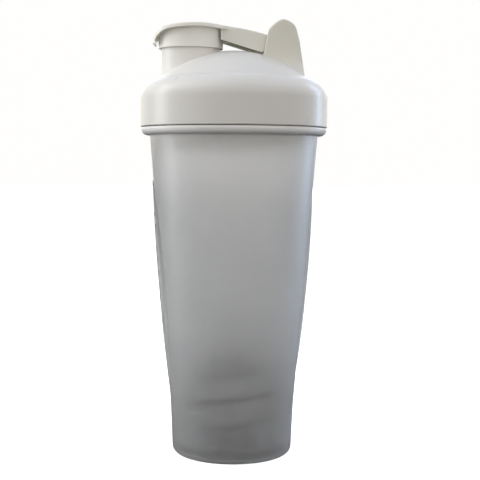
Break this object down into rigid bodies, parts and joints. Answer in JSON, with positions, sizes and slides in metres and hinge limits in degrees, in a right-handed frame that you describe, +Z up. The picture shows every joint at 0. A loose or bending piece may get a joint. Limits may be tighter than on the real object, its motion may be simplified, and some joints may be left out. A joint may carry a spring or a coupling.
{
  "type": "protein shaker bottle",
  "caption": "Tapered frosted shaker cup with a screw lid, round spout under a flip cap, carry loop and loose wire whisk ball.",
  "frame": {"origin": "centre of the base, on the plane the bottle stands on", "axes": "+Z up along the cup's axis, the spout towards -X, the carry loop towards +X"},
  "size_m": [0.0956, 0.0956, 0.2219],
  "materials": {
    "frosted_plastic": "frosted, translucent",
    "white_plastic": "satin gloss, opaque",
    "ivory_plastic": "satin gloss, slightly translucent",
    "silicone": "matte",
    "steel_wire": "drawn wire"
  },
  "bodies": {
    "cup": {"cup": "frosted_plastic"},
    "gasket": {"lid_gasket": "silicone"},
    "lid": {"lid": "white_plastic"},
    "flip_cap": {"flip_cap": "ivory_plastic"},
    "whisk_ball": {"whisk_ball": "steel_wire"}
  },
  "joints": [
    {"name": "lid_lift", "type": "slide", "parent": "cup", "child": "gasket", "axis": [0, 0, 1], "range_m": [0, 0.0242]},
    {"name": "lid_turn", "type": "hinge", "parent": "gasket", "child": "lid", "pos_m": [0, 0, 0.178], "axis": [0, 0, 1], "range_deg": [0, 720]},
    {"name": "flip_cap_hinge", "type": "hinge", "parent": "lid", "child": "flip_cap", "pos_m": [0.0195, 0, 0.2106], "axis": [0, 1, 0], "range_deg": [0, 100]},
    {"name": "whisk_ball_slide", "type": "slide", "parent": "cup", "child": "whisk_ball", "axis": [0, 0, 1], "range_m": [0, 0.145]}
  ],
  "couplings": [
    {"joint": "lid_lift", "follows": "lid_turn", "m_per_rad": 0.0019099}
  ]
}
